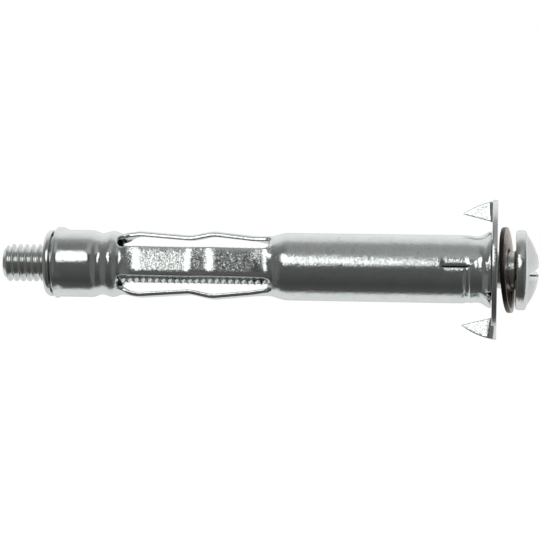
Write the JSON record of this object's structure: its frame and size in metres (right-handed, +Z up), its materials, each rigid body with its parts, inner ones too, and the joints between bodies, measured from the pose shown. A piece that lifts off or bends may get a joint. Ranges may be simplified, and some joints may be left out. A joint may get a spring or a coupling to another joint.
{
  "type": "hollow wall anchor",
  "caption": "Unset hollow wall anchor: slotted sheet sleeve with bent legs, spurred flange plate, crimped nut, slotted pan head screw and loose washer.",
  "frame": {"origin": "on the anchor's axis at the face of the wall, which is the back of the flange plate", "axes": "+X along the axis out of the wall towards the screw's head, +Z up as the picture shows it"},
  "size_m": [0.0556, 0.0144, 0.0144],
  "materials": {
    "sleeve_zinc": "bright zinc plated sheet steel",
    "plate_zinc": "bright zinc plated stamped steel",
    "nut_zinc": "zinc plated turned steel",
    "screw_zinc": "zinc plated steel, rolled thread",
    "washer_steel": "dull plated steel with a dark edge"
  },
  "bodies": {
    "anchor": {"sleeve": "sleeve_zinc", "flange_plate": "plate_zinc", "nut": "nut_zinc"},
    "washer": {"washer": "washer_steel"},
    "screw": {"screw": "screw_zinc"}
  },
  "joints": [
    {"name": "washer_slide", "type": "slide", "parent": "anchor", "child": "washer", "axis": [1, 0, 0], "range_m": [-0.00007, 0.0081]},
    {"name": "screw_turn", "type": "hinge", "parent": "washer", "child": "screw", "pos_m": [0, 0, 0], "axis": [1, 0, 0], "range_deg": [-40, 4176]}
  ],
  "couplings": [
    {"joint": "screw_turn", "follows": "washer_slide", "rad_per_m": 8976}
  ]
}
